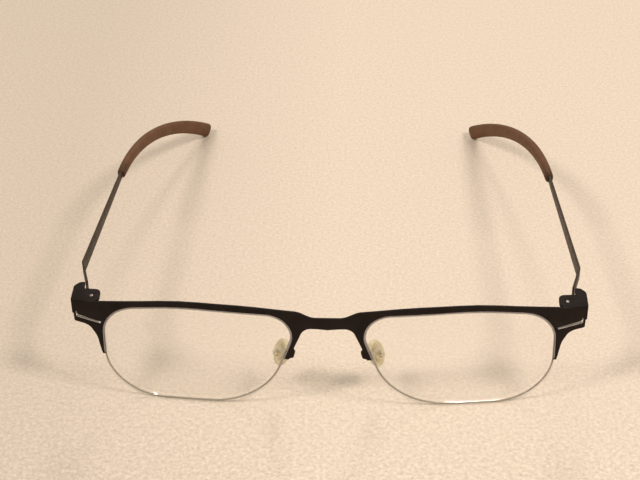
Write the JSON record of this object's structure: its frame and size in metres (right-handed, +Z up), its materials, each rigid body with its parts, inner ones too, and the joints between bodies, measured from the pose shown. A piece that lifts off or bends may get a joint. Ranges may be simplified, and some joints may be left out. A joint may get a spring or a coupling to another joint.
{
  "type": "half rim eyeglasses",
  "caption": "Half rim eyeglasses with a folded sheet-metal front, clear lenses, soft nose pads and folding arms with moulded ear sleeves.",
  "frame": {"origin": "centre of the base of the object's box, on the ground that the lower lens edges and the temple ends rest on", "axes": "+X to the wearer's left, +Y from the front back along the temples, +Z up"},
  "size_m": [0.1392, 0.1367, 0.0352],
  "materials": {
    "front_metal": "satin black lacquer",
    "temple_metal": "satin dark brown lacquer",
    "sleeve": "matt moulded brown",
    "silicone": "soft translucent cream",
    "clear_lens": "clear, polished",
    "nylon": "translucent nylon",
    "steel": "bright pin ends"
  },
  "bodies": {
    "front": {"front_frame": "front_metal", "left_lens": "clear_lens", "right_lens": "clear_lens", "left_nylon_cord": "nylon", "right_nylon_cord": "nylon", "left_hinge_pin": "steel", "right_hinge_pin": "steel", "left_hinge_washers": "nylon", "right_hinge_washers": "nylon"},
    "left_arm": {"left_temple": "temple_metal", "left_temple_tip": "sleeve"},
    "right_arm": {"right_temple": "temple_metal", "right_temple_tip": "sleeve"},
    "left_pad": {"left_nose_pad": "silicone", "left_pad_clip": "steel", "left_pad_pin": "steel"},
    "right_pad": {"right_nose_pad": "silicone", "right_pad_clip": "steel", "right_pad_pin": "steel"}
  },
  "joints": [
    {"name": "left_temple_fold", "type": "hinge", "parent": "front", "child": "left_arm", "pos_m": [0.06415, -0.05974, 0.02985], "axis": [0, 0, 1], "range_deg": [0, 80]},
    {"name": "right_temple_fold", "type": "hinge", "parent": "front", "child": "right_arm", "pos_m": [-0.06415, -0.05974, 0.02985], "axis": [0, 0, -1], "range_deg": [0, 72]},
    {"name": "left_pad_rock", "type": "hinge", "parent": "front", "child": "left_pad", "pos_m": [0.01458, -0.06132, 0.01383], "axis": [0.4083, 0.8471, 0.3402], "range_deg": [-8, 8]},
    {"name": "right_pad_rock", "type": "hinge", "parent": "front", "child": "right_pad", "pos_m": [-0.01458, -0.06132, 0.01383], "axis": [0.4083, -0.8471, -0.3402], "range_deg": [-8, 8]}
  ]
}
